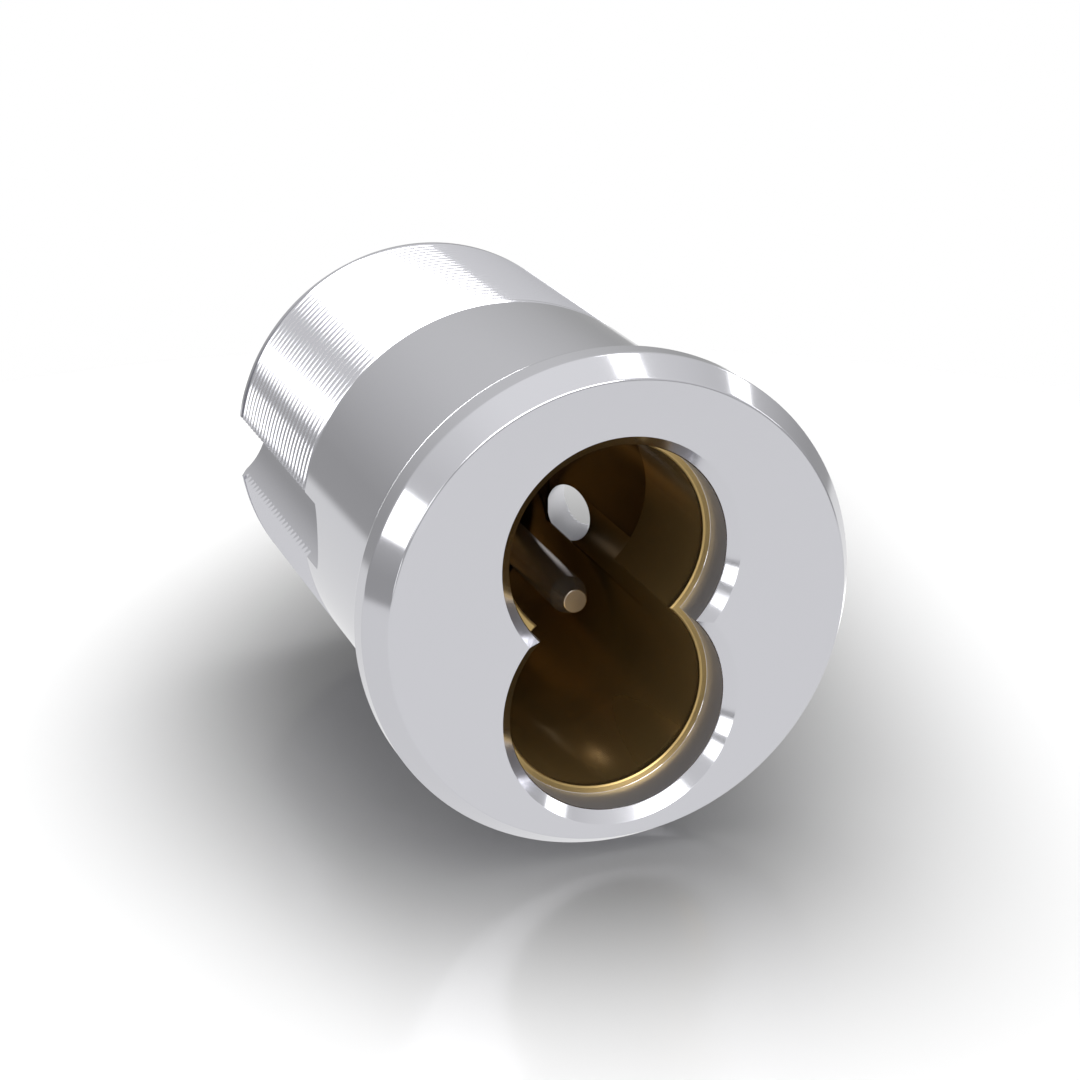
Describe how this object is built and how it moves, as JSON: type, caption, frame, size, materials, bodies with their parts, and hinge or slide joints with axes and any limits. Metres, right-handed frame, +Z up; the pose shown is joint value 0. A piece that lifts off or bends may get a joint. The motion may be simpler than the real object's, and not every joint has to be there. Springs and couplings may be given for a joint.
{
  "type": "mortise cylinder housing",
  "caption": "Round threaded lock cylinder housing with a bevelled head, a stepped figure-eight opening for an interchangeable core, side grooves, and a pinned driver with a rear cam.",
  "frame": {"origin": "on the thread's axis, in the plane of the head's back face, which seats on the lock's ring or trim", "axes": "+Y along the thread's axis from the head towards the back of the lock, +Z up with the figure-eight opening upright and its driver lobe below, +X to the right as seen from the front"},
  "size_m": [0.0334, 0.0466, 0.0334],
  "materials": {
    "housing": "satin chrome plate on brass, bare brass in the cavity",
    "driver": "turned",
    "pin_steel": "dark oiled steel",
    "spring_steel": "black oxide",
    "cam": "zinc plated",
    "screw_steel": "zinc plated"
  },
  "bodies": {
    "housing_body": {"housing": "housing"},
    "driver_body": {"driver": "driver", "drive_pin_right": "pin_steel", "drive_pin_left": "pin_steel", "retaining_ring": "spring_steel", "cam": "cam", "cam_screw_upper": "screw_steel", "cam_screw_lower": "screw_steel"}
  },
  "joints": [
    {"name": "driver_turn", "type": "hinge", "parent": "housing_body", "child": "driver_body", "pos_m": [0, 0.0373, -0.00648], "axis": [0, 1, 0], "continuous": true}
  ]
}
